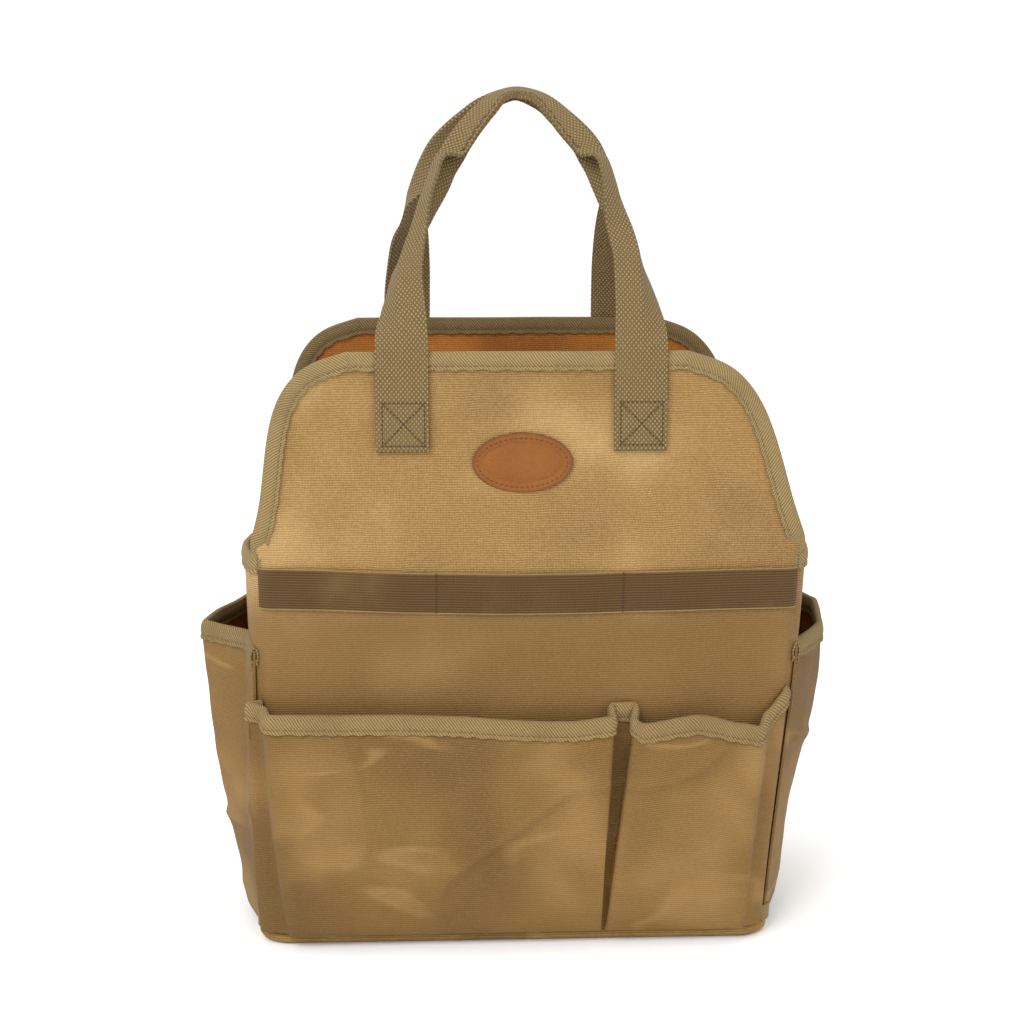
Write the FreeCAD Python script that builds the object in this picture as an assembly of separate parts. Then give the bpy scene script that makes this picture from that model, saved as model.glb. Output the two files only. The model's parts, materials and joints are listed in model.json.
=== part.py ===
import FreeCAD, Part
import math
import os

# Garden tool bag: an open tote of lined waxed canvas with outside pockets, an elastic
# tool band and two webbing handles that hinge on their sewn tabs.
# Millimetres, +Z up, the bag's front faces -Y, and the origin is on the floor
# under the middle of the base.

# overall sizes
panel_width = 330.0        # across the front panel where its shoulders start
base_width = 320.0         # across the foot of the walls
bag_depth = 176.0
panel_height = 368.0       # canvas edge of the front and back panels
side_height = 241.0        # canvas edge of the side panels
handle_top = 521.8         # middle of the grips

# cloth, tape and clearances
canvas = 2.0               # shell canvas with its lining
pocket_canvas = 1.6
tape = 1.0                 # twill binding tape
gap = 0.2                  # between sewn layers
seam_gap = 0.4             # between two panels along a seam
thread = 0.4
stitch_width = 0.8

# walls
base_corner_radius = 38.0  # rounded corners of the base, in plan
upper_corner_radius = 8.0  # the walls fold more sharply at the rim of the side panels
arc_steps = 5
wall_rows = 7
shoulder_half_width = 146.0
shoulder_height = 331.0
top_half_width = 102.0
shoulder_steps = 6

# base
piping_radius = 4.0
base_canvas = 2.0
stiffener_thickness = 3.0
lining_thickness = 1.0
piping_proud = 0.8         # how far the piping stands out past the walls
piping_round = 3.6

# rim binding and inside seam tapes
rim_binding_height = 10.0
seam_tape_width = 12.0

# elastic tool band
band_height = 25.0
band_drop = 3.0            # from the side panels' edge down to the band's top edge
band_thickness = 1.2
band_divider = 57.0        # from the middle to each line of stitches

# front and back pockets
front_rim = 149.0
pocket_stand_foot = 4.0    # how far a pocket's face stands off the wall
pocket_stand_rim = 13.0
pocket_edge_foot = 20.0    # from the wall's side to the edge of the pocket's face
pocket_edge_rim = 11.0
pleat_middle_foot = 50.5
pleat_middle_rim = 61.0
pleat_gap_foot = 4.0
pleat_gap_rim = 9.6
pocket_binding_height = 12.0
pocket_foot_clearance = 0.4
pocket_rows = 4

# side pockets
side_rim = 196.0
side_stand_foot = 11.0     # how far a side pocket's face stands off the wall
side_stand_rim = 27.0
side_seat_margin = 22.0    # from the bag's front to where a side pocket is sewn on
side_face_margin = 48.0    # from the bag's front to the edge of the side pocket's face
foot_tape_size = 10.0

# handles
webbing_width = 32.0
webbing_thickness = 1.8
handle_spacing = 141.0     # between the middles of a handle's two legs
tab_foot = 311.0
pivot_height = 341.0
pivot_clearance = 0.3
leg_straight = 33.0        # flat length of each leg above its pivot
grip_width = 16.0          # webbing folded in half
grip_thickness = 5.0
grip_tilt = 12.0           # degrees: the outer edge of each grip hangs lower
grip_clearance = 0.45      # from each grip to the plane between the two handles
pivot_steps = 6
grip_stitch_width = 1.2
grip_folded_points = 2     # points each side of the top where the webbing is fully folded

# leather patch
patch_width = 60.0
patch_height = 36.0
patch_thickness = 1.8
patch_middle = 303.5
patch_margin = 3.5

half_depth = bag_depth / 2
wall_foot = 2 * piping_radius + 2 * gap
up = FreeCAD.Vector(0, 0, 1)
across = FreeCAD.Vector(1, 0, 0)
front = FreeCAD.Vector(0, -1, 0)


def blend(low, high, share):
    return low + (high - low) * share


def level(z, top):
    """Share of the way up from the foot of the walls to a height."""
    return min(max((z - wall_foot) / (top - wall_foot), 0.0), 1.0)


def spread(low, high, count):
    return [blend(low, high, i / count) for i in range(count + 1)]


def triangle(a, b, c):
    if (b - a).cross(c - a).Length < 1e-9:
        return []
    return [Part.Face(Part.makePolygon([a, b, c, a]))]


def quad(a, b, c, d):
    """One flat face, or two triangles along the shorter diagonal where it can't be flat."""
    normal = (c - a).cross(d - b)
    if normal.Length > 1e-9 and abs(normal.normalize().dot(b - a)) < 1e-7:
        corners = [p for p, q in ((a, d), (b, a), (c, b), (d, c)) if (p - q).Length > 1e-9]
        if len(corners) > 3:
            return [Part.Face(Part.makePolygon(corners + corners[:1]))]
    if (c - a).Length <= (d - b).Length:
        return triangle(a, b, c) + triangle(a, c, d)
    return triangle(a, b, d) + triangle(b, c, d)


def strip_solid(rows):
    """A closed solid from rows, each an (outer points, inner points) pair across the strip."""
    rings = [list(outer) + list(reversed(inner)) for outer, inner in rows]
    size = len(rings[0])
    faces = []
    for low, high in zip(rings, rings[1:]):
        for i in range(size):
            j = (i + 1) % size
            faces += quad(low[i], low[j], high[j], high[i])
    for outer, inner in (rows[0], rows[-1]):
        for i in range(len(outer) - 1):
            faces += quad(outer[i], outer[i + 1], inner[i + 1], inner[i])
    sewn = Part.Compound(faces)
    sewn.sewShape()
    solid = Part.Solid(sewn.Shells[0])
    if solid.Volume < 0:
        solid.reverse()
    return solid


def mirrored_x(shape):
    return shape.mirror(FreeCAD.Vector(0, 0, 0), across)


def mirrored_y(shape):
    return shape.mirror(FreeCAD.Vector(0, 0, 0), front)


def half_width(z):
    return blend(base_width, panel_width, level(z, side_height)) / 2


def corner_radius(z):
    return blend(base_corner_radius, upper_corner_radius, level(z, side_height))


def corner_points(z, out, start, end):
    """The right front corner's wall line, moved outward, from one angle to another."""
    radius = corner_radius(z)
    middle_x = half_width(z) - radius
    middle_y = radius - half_depth
    points = []
    for angle in spread(math.radians(start), math.radians(end), arc_steps):
        x = middle_x + (radius + out) * math.cos(angle)
        y = middle_y + (radius + out) * math.sin(angle)
        points.append(FreeCAD.Vector(x, y, z))
    return points


def seam_trim(z, trim):
    """The angle in degrees that a trim takes off each side of a corner's seam."""
    return math.degrees(trim / corner_radius(z))


def front_line(z, out, trim):
    right = corner_points(z, out, 270, 315 - seam_trim(z, trim))
    left = [FreeCAD.Vector(-p.x, p.y, p.z) for p in reversed(right)]
    return left + right


def side_line(z, out, trim):
    near = corner_points(z, out, 315 + seam_trim(z, trim), 360)
    far = [FreeCAD.Vector(p.x, -p.y, p.z) for p in reversed(near)]
    return near + far


def wall_x(y, z):
    """Half width of the wall line at a given depth."""
    radius = corner_radius(z)
    past = max(abs(y) - (half_depth - radius), 0.0)
    return half_width(z) - radius + math.sqrt(radius ** 2 - past ** 2)


def outline_half_width(z):
    """Half width of the front panel above the side panels."""
    foot = half_width(side_height) - upper_corner_radius * (1 - math.sqrt(0.5))
    if z <= shoulder_height:
        share = (z - side_height) / (shoulder_height - side_height)
        return blend(foot, shoulder_half_width, share)
    rise = (z - shoulder_height) / (panel_height - shoulder_height)
    return blend(top_half_width, shoulder_half_width, math.sqrt(max(1 - rise ** 2, 0.0)))


def shoulder_levels(foot):
    """Heights from a foot up the straight shoulder and round its curve to the top."""
    rise = panel_height - shoulder_height
    curve = [shoulder_height + rise * math.sin(math.radians(90 * i / shoulder_steps))
             for i in range(shoulder_steps + 1)]
    return spread(foot, shoulder_height, 3)[:-1] + curve


def big_panel():
    """The front panel: it wraps round the lower corners and stands free above the sides."""
    rows = []
    for z in spread(wall_foot, side_height, wall_rows):
        rows.append((front_line(z, 0, seam_gap / 2), front_line(z, -canvas, seam_gap / 2)))
    top_row = front_line(side_height, 0, seam_gap / 2)
    for z in shoulder_levels(side_height + gap + tape):
        scale = outline_half_width(z) / top_row[-1].x
        outer = [FreeCAD.Vector(p.x * scale, -half_depth, z) for p in top_row]
        rows.append((outer, [p - front * canvas for p in outer]))
    return strip_solid(rows)


def side_panel():
    levels = spread(wall_foot, side_height, wall_rows)
    return strip_solid([(side_line(z, 0, seam_gap / 2), side_line(z, -canvas, seam_gap / 2))
                        for z in levels])


def corner_tape():
    """The tape that binds a corner seam's raw edges inside the bag."""
    levels = spread(wall_foot + gap, side_height - rim_binding_height - tape, wall_rows)
    rows = []
    for z in levels:
        sweep = min(seam_trim(z, seam_tape_width / 2), 40)
        outer = corner_points(z, -canvas - gap, 315 - sweep, 315 + sweep)
        inner = corner_points(z, -canvas - gap - tape, 315 - sweep, 315 + sweep)
        rows.append((outer, inner))
    return strip_solid(rows)


def rounded_plate(inset, foot, thickness):
    """A flat sheet in the shape of the base."""
    x = base_width / 2 - inset
    y = half_depth - inset
    plate = Part.makeBox(2 * x, 2 * y, thickness, FreeCAD.Vector(-x, -y, foot))
    upright = [e for e in plate.Edges if abs(e.tangentAt(e.FirstParameter).z) > 0.9]
    return plate.makeFillet(base_corner_radius - inset, upright)


def base_piping():
    """The covered cord sewn round the base, where the walls meet it."""
    thickness = 2 * piping_radius
    ring = rounded_plate(-piping_proud, gap, thickness)
    ring = ring.cut(rounded_plate(thickness - piping_proud, gap, thickness))
    level_edges = [e for e in ring.Edges if abs(e.tangentAt(e.FirstParameter).z) < 0.1]
    return ring.makeFillet(piping_round, level_edges)


def base_sheet(foot, thickness):
    """A sheet of the base, inside the ring of piping."""
    return rounded_plate(2 * piping_radius - piping_proud + gap, foot, thickness)


def binding(path, sheet, height):
    """A tape folded over a sheet's edge; the path gives (edge point, outward, into the sheet).

    The way into the sheet is as long as it takes to go down one unit of the tape's height.
    """
    inner = sheet / 2 + gap
    outer = inner + tape
    rows = []
    for point, outward, inward in path:
        rows.append((
            [point + outward * outer + inward * height,
             point + outward * outer - inward * (gap + tape),
             point - outward * outer - inward * (gap + tape),
             point - outward * outer + inward * height],
            [point + outward * inner + inward * height,
             point + outward * inner - inward * gap,
             point - outward * inner - inward * gap,
             point - outward * inner + inward * height],
        ))
    return strip_solid(rows)


def big_panel_binding():
    """The rim tape over the front panel's free edge, from shoulder to shoulder."""
    foot = side_height + gap + tape + pivot_clearance
    middle = canvas / 2 - half_depth
    right = [FreeCAD.Vector(outline_half_width(z), middle, z) for z in shoulder_levels(foot)]
    points = [FreeCAD.Vector(-p.x, p.y, p.z) for p in right] + list(reversed(right))
    path = []
    for i, point in enumerate(points):
        along = points[min(i + 1, len(points) - 1)] - points[max(i - 1, 0)]
        path.append((point, front, along.normalize().cross(front)))
    return binding(path, canvas, rim_binding_height)


def side_panel_binding():
    """The rim tape over a side panel's top edge."""
    outer = side_line(side_height, 0, seam_gap)
    inner = side_line(side_height, -canvas, seam_gap)
    middle = side_line(side_height, -canvas / 2, seam_gap)
    below = side_line(side_height - rim_binding_height, -canvas / 2, seam_gap)
    path = []
    for a, b, edge, foot in zip(outer, inner, middle, below):
        path.append((edge, (a - b).normalize(), (foot - edge) * (1 / rim_binding_height)))
    return binding(path, canvas, rim_binding_height)


def tool_band():
    """The wide elastic sewn flat across the front, open at its top and bottom edges."""
    top = side_height - band_drop
    trim = seam_gap / 2
    rows = [(front_line(z, gap + band_thickness, trim), front_line(z, gap, trim))
            for z in (top - band_height, top)]
    return strip_solid(rows)


def band_stitching():
    """Two upright rows of stitches that part the band into three loops."""
    foot = side_height - band_drop - band_height
    face = -half_depth - gap - band_thickness - thread
    bars = [Part.makeBox(stitch_width, thread, band_height,
                         FreeCAD.Vector(side * band_divider - stitch_width / 2, face, foot))
            for side in (-1, 1)]
    return Part.Compound(bars)


def normals(points):
    """Outward level normals of a level line, mitred at its corners."""
    sides = [(b - a).normalize() for a, b in zip(points, points[1:])]
    flat = [FreeCAD.Vector(s.y, -s.x, 0) for s in sides]
    joined = []
    for i in range(len(points)):
        before, after = flat[max(i - 1, 0)], flat[min(i, len(flat) - 1)]
        middle = (before + after).normalize()
        joined.append(middle * (1 / middle.dot(after)))
    return joined


def pocket_wall(line_at, rim):
    """A pocket's cloth between its foot and its rim, on both sides of its middle line."""
    half = pocket_canvas / 2
    rows = []
    levels = spread(wall_foot + pocket_foot_clearance, rim - pocket_binding_height, pocket_rows)
    for z in levels + [rim]:
        points = line_at(z)
        outward = normals(points)
        rows.append(([p + n * half for p, n in zip(points, outward)],
                     [p - n * half for p, n in zip(points, outward)]))
    return strip_solid(rows)


def pocket_binding(line_at, rim):
    edge = line_at(rim)
    foot = line_at(rim - pocket_binding_height)
    path = [(p, n, (q - p) * (1 / pocket_binding_height))
            for p, n, q in zip(edge, normals(edge), foot)]
    return binding(path, pocket_canvas, pocket_binding_height)


def spreading(z, rim):
    """How far a pocket has opened at a height: all the way where the tape stiffens its rim."""
    return level(z, rim - pocket_binding_height)


def seat(z, rim):
    """Distance from the wall to the middle of the pocket's cloth where it is sewn on."""
    foot = gap + pocket_canvas / 2
    at_rim = foot + gap + tape
    return blend(foot, at_rim, spreading(z, rim))


def pocket_face(z):
    """Depth of a front pocket's face and half width of the pair of pockets at a height."""
    share = spreading(z, front_rim)
    stand = blend(pocket_stand_foot, pocket_stand_rim, share)
    edge = half_width(z) - blend(pocket_edge_foot, pocket_edge_rim, share)
    return -half_depth - stand, edge


def pleat(z, middle_foot, middle_rim, side):
    """Where one side of a box pleat stands."""
    share = spreading(z, front_rim)
    middle = blend(middle_foot, middle_rim, share)
    return middle + side * blend(pleat_gap_foot, pleat_gap_rim, share) / 2


def pocket_from_pleat(z, lip):
    """A front pocket from the box pleat to the right corner seam."""
    face, edge = pocket_face(z)
    start = corner_points(z, seat(z, front_rim), 270, 315 - seam_trim(z, seam_gap))[-1]
    return [FreeCAD.Vector(lip, -half_depth - seat(z, front_rim), z),
            FreeCAD.Vector(lip, face, z),
            FreeCAD.Vector(edge, face, z),
            FreeCAD.Vector(start.x, start.y, z)]


def right_pocket_line(z):
    """The smaller front pocket."""
    return pocket_from_pleat(z, pleat(z, pleat_middle_foot, pleat_middle_rim, 1))


def left_pocket_line(z):
    """The larger front pocket, from the left corner seam to the box pleat."""
    lip = pleat(z, pleat_middle_foot, pleat_middle_rim, -1)
    line = pocket_from_pleat(z, -lip)
    return [FreeCAD.Vector(-p.x, p.y, p.z) for p in reversed(line)]


def back_pocket_line(z):
    """One half of the back pockets, drawn on the front, with its pleat in the middle."""
    return pocket_from_pleat(z, pleat(z, 0, 0, 1))


def side_pocket_line(z):
    """The right side pocket, sewn on near both corners and standing off the wall between."""
    reach = half_width(z) + blend(side_stand_foot, side_stand_rim, spreading(z, side_rim))
    face_half = half_depth - side_face_margin
    seat_half = half_depth - side_seat_margin
    start = wall_x(seat_half, z) + seat(z, side_rim)
    return [FreeCAD.Vector(start, -seat_half, z),
            FreeCAD.Vector(reach, -face_half, z),
            FreeCAD.Vector(reach, face_half, z),
            FreeCAD.Vector(start, seat_half, z)]


def foot_tape():
    """A tab of tape over the corner seam, between the piping and the side pocket's end."""
    foot = wall_foot + pocket_foot_clearance
    rows = []
    for z in (foot, foot + foot_tape_size):
        start = 315 + seam_trim(z, seam_gap)
        end = start + seam_trim(z, foot_tape_size * 0.8)
        rows.append((corner_points(z, gap + tape, start, end), corner_points(z, gap, start, end)))
    return strip_solid(rows)


def ribbon(points, widths, thicknesses, width_ways, lift=0.0):
    """Rows of webbing along a line, lifted off it; its width turns from point to point."""
    rows = []
    for i, point in enumerate(points):
        along = (points[min(i + 1, len(points) - 1)] - points[max(i - 1, 0)]).normalize()
        side = (width_ways[i] - along * along.dot(width_ways[i])).normalize()
        face = side.cross(along)
        half = side * (widths[i] / 2)
        near = point + face * (lift + thicknesses[i] / 2)
        far = point + face * (lift - thicknesses[i] / 2)
        rows.append(([near - half, near + half], [far - half, far + half]))
    return rows


def leg_x():
    return handle_spacing / 2


def tab_face():
    """Depth of the front of the sewn tabs."""
    return -half_depth - gap - webbing_thickness


def pivot_depth():
    """The webbing bends in the layer that lies on the sewn tabs."""
    return tab_face() - pivot_clearance - webbing_thickness / 2


def handle_tab():
    """The sewn end of a handle, flat on the front panel, on the right."""
    corner = FreeCAD.Vector(leg_x() - webbing_width / 2, tab_face(), tab_foot)
    height = pivot_height - webbing_thickness / 2 - pivot_clearance - tab_foot
    return Part.makeBox(webbing_width, webbing_thickness, height, corner)


def tab_stitching():
    """The square and cross of stitches through one sewn tab, on the right."""
    inset = 2.5
    size = webbing_width - 2 * inset
    height = pivot_height - tab_foot - 2 * inset
    middle = FreeCAD.Vector(leg_x(), tab_face() - thread / 2 - gap / 4, tab_foot + inset + height / 2)
    bars = []
    for length, turn, shift in (
        (size, 0, up * (height / 2)),
        (size, 0, up * (-height / 2)),
        (height, 90, across * (size / 2)),
        (height, 90, across * (-size / 2)),
        (math.hypot(size, height), math.degrees(math.atan2(height, size)), up * 0),
        (math.hypot(size, height), -math.degrees(math.atan2(height, size)), up * 0),
    ):
        bar = Part.makeBox(length, thread, stitch_width,
                           FreeCAD.Vector(-length / 2, -thread / 2, -stitch_width / 2))
        bar.rotate(FreeCAD.Vector(0, 0, 0), front, turn)
        bar.translate(middle + shift)
        bars.append(bar)
    return bars[0].multiFuse(bars[1:])


def handle_line():
    """Middle line of the front handle's right leg, from above its bend to the top."""
    depth = pivot_depth()
    tilt = math.radians(grip_tilt)
    top_depth = grip_width / 2 * math.cos(tilt) + grip_thickness / 2 * math.sin(tilt)
    top_y = -top_depth - grip_clearance
    foot = pivot_height + leg_straight
    rise = handle_top - foot
    run = top_y - depth
    x = leg_x()
    # shares: half width of the arch, of the lean to the middle and of the rise
    shares = ((1.0, 0.0, 0.0), (0.985, 0.16, 0.19), (0.95, 0.32, 0.38), (0.86, 0.50, 0.57),
              (0.72, 0.68, 0.74), (0.50, 0.84, 0.88), (0.25, 0.95, 0.97), (0.0, 1.0, 1.0))
    return [FreeCAD.Vector(x * a, depth + run * b, foot + rise * c) for a, b, c in shares]


def handle_sections():
    """Rows of the right half of the front handle: flat webbing that folds into the grip."""
    line = handle_line()
    last = len(line) - 1
    tilt = math.radians(grip_tilt)
    flat_on_top = FreeCAD.Vector(0, math.cos(tilt), math.sin(tilt))
    widths, thicknesses, ways = [], [], []
    for i in range(len(line)):
        fold = min(i / (last - grip_folded_points), 1.0)
        turn = i / last
        widths.append(blend(webbing_width, grip_width, fold))
        thicknesses.append(blend(webbing_thickness, grip_thickness, fold))
        ways.append((across * (1 - turn) + flat_on_top * turn).normalize())
    ways[-1] = flat_on_top
    return line, widths, thicknesses, ways


def whole_loop(line, ways):
    """The right half's points and width directions, carried on over the top to the left."""
    points = line + [FreeCAD.Vector(-p.x, p.y, p.z) for p in reversed(line[:-1])]
    turned = ways + [FreeCAD.Vector(-w.x, w.y, w.z) for w in reversed(ways[:-1])]
    return points, turned


def handle_loop():
    """One webbing handle, from the rounded bend at one tab over the grip to the other."""
    line, widths, thicknesses, ways = handle_sections()
    points, turned = whole_loop(line, ways)
    widths = widths + list(reversed(widths[:-1]))
    thicknesses = thicknesses + list(reversed(thicknesses[:-1]))
    rows = ribbon(points, widths, thicknesses, turned)
    foot = bend_rows(leg_x())
    other = [(list(reversed(a)), list(reversed(b))) for a, b in reversed(bend_rows(-leg_x()))]
    return strip_solid(foot + rows[1:-1] + other)


def bend_rows(x):
    """The straight foot of a leg with its rounded end about the pivot."""
    radius = webbing_thickness / 2
    half = webbing_width / 2
    rows = []
    for angle in spread(0, math.pi / 2, pivot_steps):
        reach = max(radius * math.sin(angle), 0.02)
        z = pivot_height - radius * math.cos(angle)
        rows.append((
            [FreeCAD.Vector(x - half, pivot_depth() - reach, z),
             FreeCAD.Vector(x + half, pivot_depth() - reach, z)],
            [FreeCAD.Vector(x - half, pivot_depth() + reach, z),
             FreeCAD.Vector(x + half, pivot_depth() + reach, z)],
        ))
    z = pivot_height + leg_straight
    rows.append(([p + up * (z - p.z) for p in rows[-1][0]], [p + up * (z - p.z) for p in rows[-1][1]]))
    return rows


def grip_stitching():
    """The row of stitches under the grip that holds the webbing folded."""
    line, widths, thicknesses, ways = handle_sections()
    points, turned = whole_loop(line, ways)
    count = len(points)
    lift = -(grip_thickness + thread) / 2 - gap
    rows = ribbon(points, [grip_stitch_width] * count, [thread] * count, turned, lift)
    middle = count // 2
    return strip_solid(rows[middle - grip_folded_points:middle + grip_folded_points + 1])


def oval(width, height, thickness, face):
    """An upright oval plate whose back lies at a given depth."""
    curve = Part.Ellipse(FreeCAD.Vector(0, 0, 0), width / 2, height / 2).toShape()
    plate = Part.Face(Part.Wire([curve])).extrude(up * thickness)
    plate.rotate(FreeCAD.Vector(0, 0, 0), across, 90)
    plate.translate(FreeCAD.Vector(0, face, patch_middle))
    return plate


def leather_patch():
    return oval(patch_width, patch_height, patch_thickness, -half_depth - gap)


def patch_stitching():
    """The ring of stitches round the leather patch."""
    face = -half_depth - gap - patch_thickness - gap / 4
    outer = oval(patch_width - 2 * patch_margin, patch_height - 2 * patch_margin, thread, face)
    inner_margin = patch_margin + stitch_width
    inner = oval(patch_width - 2 * inner_margin, patch_height - 2 * inner_margin, thread, face)
    return outer.cut(inner)


def nodes():
    """Every piece of the bag by name."""
    made = {}
    made["front_panel"] = big_panel()
    made["front_rim_binding"] = big_panel_binding()
    made["right_side_panel"] = side_panel()
    made["right_rim_binding"] = side_panel_binding()
    made["right_side_pocket"] = pocket_wall(side_pocket_line, side_rim)
    made["right_side_pocket_binding"] = pocket_binding(side_pocket_line, side_rim)
    made["right_foot_tape"] = foot_tape()
    made["front_right_seam_tape"] = corner_tape()
    made["front_right_handle_tab"] = handle_tab()
    for name in [n for n in made if n.startswith("right_")]:
        made[name.replace("right_", "left_", 1)] = mirrored_x(made[name])
    made["front_left_seam_tape"] = mirrored_x(made["front_right_seam_tape"])
    made["front_left_handle_tab"] = mirrored_x(made["front_right_handle_tab"])
    stitches = tab_stitching()
    made["front_tab_stitching"] = Part.Compound([stitches, mirrored_x(stitches)])
    made["front_handle"] = handle_loop()
    made["front_grip_stitching"] = grip_stitching()
    for name in [n for n in made if n.startswith("front_")]:
        made[name.replace("front_", "back_", 1)] = mirrored_y(made[name])

    made["front_left_pocket"] = pocket_wall(left_pocket_line, front_rim)
    made["front_right_pocket"] = pocket_wall(right_pocket_line, front_rim)
    made["front_left_pocket_binding"] = pocket_binding(left_pocket_line, front_rim)
    made["front_right_pocket_binding"] = pocket_binding(right_pocket_line, front_rim)
    made["back_right_pocket"] = mirrored_y(pocket_wall(back_pocket_line, front_rim))
    made["back_right_pocket_binding"] = mirrored_y(pocket_binding(back_pocket_line, front_rim))
    for name in ("back_right_pocket", "back_right_pocket_binding"):
        made[name.replace("right", "left")] = mirrored_x(made[name])

    made["tool_band"] = tool_band()
    made["tool_band_stitching"] = band_stitching()
    made["leather_patch"] = leather_patch()
    made["patch_stitching"] = patch_stitching()
    made["base_panel"] = base_sheet(0, base_canvas)
    made["base_stiffener"] = base_sheet(base_canvas + gap, stiffener_thickness)
    made["base_lining"] = base_sheet(base_canvas + stiffener_thickness + 2 * gap, lining_thickness)
    made["base_piping"] = base_piping()
    return made


os.makedirs("parts", exist_ok=True)
for node, shape in nodes().items():
    shape.exportStep("parts/" + node + ".step")
    print(node, len(shape.Solids), shape.isValid(), round(shape.Volume))
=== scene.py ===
import json
import math

import bpy
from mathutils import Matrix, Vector, noise


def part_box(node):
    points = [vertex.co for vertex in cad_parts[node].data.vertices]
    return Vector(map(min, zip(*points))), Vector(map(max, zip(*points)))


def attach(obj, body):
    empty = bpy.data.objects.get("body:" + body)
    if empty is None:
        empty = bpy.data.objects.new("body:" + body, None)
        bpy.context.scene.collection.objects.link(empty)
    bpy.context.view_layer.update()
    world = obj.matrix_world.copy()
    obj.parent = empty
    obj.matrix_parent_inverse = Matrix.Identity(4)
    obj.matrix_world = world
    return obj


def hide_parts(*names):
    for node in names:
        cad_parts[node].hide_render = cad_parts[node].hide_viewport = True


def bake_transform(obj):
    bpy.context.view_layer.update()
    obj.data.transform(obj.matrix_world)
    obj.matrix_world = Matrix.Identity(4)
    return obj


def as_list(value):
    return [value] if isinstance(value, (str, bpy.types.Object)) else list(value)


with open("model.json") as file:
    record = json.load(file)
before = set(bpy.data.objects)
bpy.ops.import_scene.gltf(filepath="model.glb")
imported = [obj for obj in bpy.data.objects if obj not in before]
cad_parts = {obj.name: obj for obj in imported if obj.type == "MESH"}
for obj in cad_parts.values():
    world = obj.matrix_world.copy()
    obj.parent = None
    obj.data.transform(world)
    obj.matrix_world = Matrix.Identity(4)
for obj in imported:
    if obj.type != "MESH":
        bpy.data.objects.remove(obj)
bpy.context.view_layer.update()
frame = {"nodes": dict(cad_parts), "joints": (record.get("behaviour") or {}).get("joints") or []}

# Viewpoint and studio: the camera stands a little left of the bag, above its rims, and
# looks slightly down. The floor is pale and the light is broad and soft.
bpy.ops.object.select_all(action="DESELECT")
look_right, look_down = 0.0415, 0.189  # radians
bpy.ops.object.camera_add(location=(-0.052, -1.188, 0.484),
                          rotation=(math.pi / 2 - look_down, 0, -look_right))
camera = bpy.context.object
camera.data.sensor_width = 36
camera.data.lens = 65.85
bpy.context.scene.camera = camera
bpy.context.scene.view_settings.view_transform = "Standard"


def lamp(name, place, aim, size, power):
    """A white square soft box that faces a point."""
    turn = (Vector(aim) - Vector(place)).to_track_quat("-Z", "Y").to_euler()
    bpy.ops.object.light_add(type="AREA", location=place, rotation=turn)
    light = bpy.context.object
    light.name = name
    light.data.size = size
    light.data.energy = power


lamp("key_light", (-1.1, -1.7, 2.0), (0, 0, 0.25), 1.4, 42)
lamp("fill_light", (1.7, -1.9, 1.0), (0, 0, 0.2), 1.6, 10)
lamp("top_light", (0.0, 0.3, 2.3), (0, 0, 0.2), 1.6, 12)

world = bpy.data.worlds.new("studio_air")
bpy.context.scene.world = world
world.use_nodes = True
air = world.node_tree.nodes["Background"].inputs
air["Color"].default_value = (1, 1, 1, 1)
air["Strength"].default_value = 1.04


class Value:
    """One socket of a material; arithmetic on it adds Math nodes."""

    def __init__(self, finish, socket):
        self.finish = finish
        self.socket = socket

    def math(self, operation, *values):
        return self.finish.node("ShaderNodeMath", {"operation": operation}, *values)

    def __add__(self, other):
        return self.math("ADD", self, other)

    def __sub__(self, other):
        return self.math("SUBTRACT", self, other)

    def __rsub__(self, other):
        return self.math("SUBTRACT", other, self)

    def __mul__(self, other):
        return self.math("MULTIPLY", self, other)

    def __truediv__(self, other):
        return self.math("DIVIDE", self, other)

    def __rtruediv__(self, other):
        return self.math("DIVIDE", other, self)

    def __abs__(self):
        return self.math("ABSOLUTE", self)

    __radd__ = __add__
    __rmul__ = __mul__

    def other(self, name):
        """Another output of the same node."""
        return Value(self.finish, self.socket.node.outputs[name])


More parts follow.
